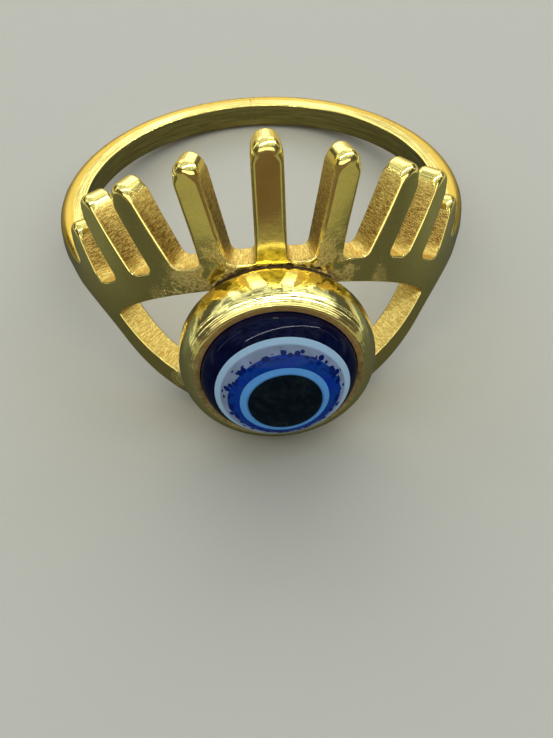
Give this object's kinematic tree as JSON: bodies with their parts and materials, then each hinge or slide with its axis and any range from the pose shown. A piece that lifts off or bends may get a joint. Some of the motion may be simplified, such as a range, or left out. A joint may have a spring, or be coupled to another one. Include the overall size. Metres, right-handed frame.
{
  "type": "evil eye finger ring",
  "caption": "Gold-tone finger ring shaped as an open eye with upright lashes, holding a domed blue and white evil-eye glass in a round bezel cup on the front.",
  "frame": {"origin": "on the axis of the finger hole, at the middle of the plain shank's height", "axes": "+Z along the finger, towards the lash tips; the eye looks along -Y; +X is to the right of someone facing the eye"},
  "size_m": [0.0208, 0.0248, 0.0151],
  "materials": {
    "gold_band": "polished",
    "gold_bezel": "polished",
    "weld_metal": "satin",
    "clear_glue": "gloss",
    "navy_glass": "gloss",
    "white_glass": "gloss",
    "royal_blue_glass": "gloss",
    "light_blue_glass": "gloss",
    "black_glass": "gloss"
  },
  "bodies": {
    "root": {"band": "gold_band", "bezel_cup": "gold_bezel", "upper_weld": "weld_metal", "lower_weld": "weld_metal", "glue_bed": "clear_glue", "navy_glass_body": "navy_glass", "white_layer": "white_glass", "royal_blue_layer": "royal_blue_glass", "light_blue_layer": "light_blue_glass", "black_pupil": "black_glass"}
  },
  "joints": []
}
